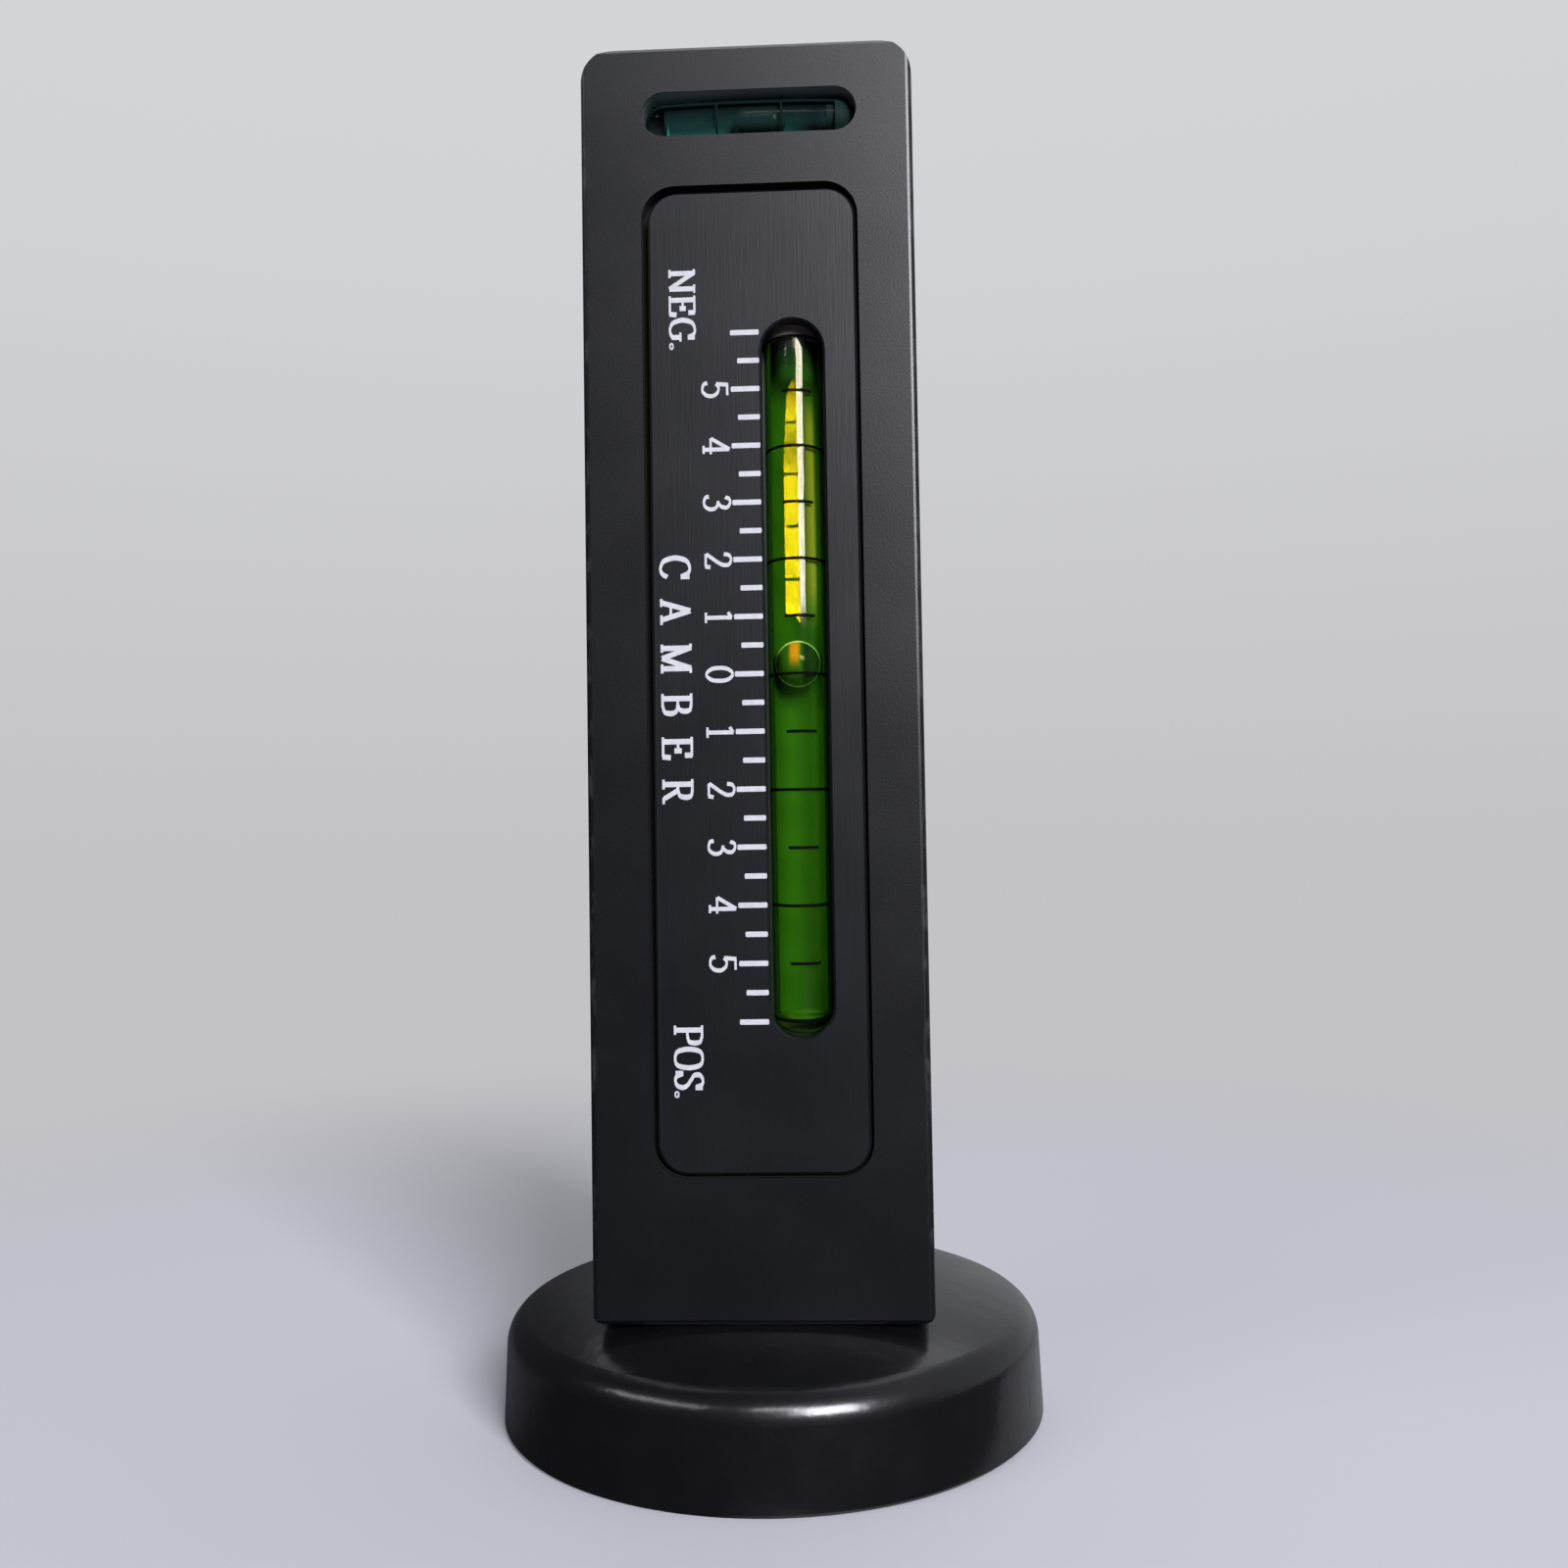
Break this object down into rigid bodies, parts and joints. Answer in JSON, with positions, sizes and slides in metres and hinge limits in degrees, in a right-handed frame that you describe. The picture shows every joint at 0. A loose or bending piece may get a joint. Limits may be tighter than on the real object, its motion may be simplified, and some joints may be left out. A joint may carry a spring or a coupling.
{
  "type": "camber caster gauge",
  "caption": "Square black block on a round pot magnet, with a curved camber vial in a printed scale plate, a short level vial above it and a caster vial in each side.",
  "frame": {"origin": "Centre of the round base, on the plane of its foot.", "axes": "+Z runs from the base up the block, -Y is out of the front with the scale plate, +X is to the right seen from the front."},
  "size_m": [0.0548, 0.0548, 0.1345],
  "materials": {
    "anodised_block": "black anodised, fine satin",
    "scale_plate": "black anodised plate, matte, printed white",
    "tape": "double-sided tape",
    "curved_vial": "clear acrylic with green liquid",
    "level_vial": "clear acrylic with green liquid",
    "plug": "black",
    "bubble": "air",
    "resin_bed": "cast resin",
    "cup_enamel": "gloss black",
    "ferrite": "ground ferrite",
    "magnet_resin": "cast resin",
    "zinc_steel": "zinc plated",
    "insert_steel": "plain"
  },
  "bodies": {
    "gauge": {"body": "anodised_block", "scale_plate": "scale_plate", "plate_tape": "tape", "camber_vial": "curved_vial", "camber_plug": "plug", "camber_bed": "resin_bed", "level_vial": "level_vial", "level_plug": "plug", "level_bed": "resin_bed", "left_caster_vial": "curved_vial", "left_caster_plug": "plug", "left_caster_bed": "resin_bed", "right_caster_vial": "curved_vial", "right_caster_plug": "plug", "right_caster_bed": "resin_bed", "magnet_cup": "cup_enamel", "ring_magnet": "ferrite", "magnet_resin": "magnet_resin", "base_screw": "zinc_steel", "split_washer": "zinc_steel", "thread_insert": "insert_steel"},
    "camber_bubble": {"camber_bubble": "bubble"},
    "level_bubble": {"level_bubble": "bubble"},
    "left_caster_bubble": {"left_caster_bubble": "bubble"},
    "right_caster_bubble": {"right_caster_bubble": "bubble"}
  },
  "joints": [
    {"name": "camber_travel", "type": "hinge", "parent": "gauge", "child": "camber_bubble", "pos_m": [0.0041, 0.30022, 0.07345], "axis": [1, 0, 0], "range_deg": [-5.1, 5.7]},
    {"name": "level_travel", "type": "hinge", "parent": "gauge", "child": "level_bubble", "pos_m": [0.0003, 0.1064, 0.1278], "axis": [0, 0, 1], "range_deg": [-3, 1.8]},
    {"name": "left_caster_travel", "type": "hinge", "parent": "gauge", "child": "left_caster_bubble", "pos_m": [0.30022, 0, 0.07345], "axis": [0, -1, 0], "range_deg": [-5.3, 5.5]},
    {"name": "right_caster_travel", "type": "hinge", "parent": "gauge", "child": "right_caster_bubble", "pos_m": [-0.30022, 0, 0.07345], "axis": [0, 1, 0], "range_deg": [-5.3, 5.5]}
  ]
}
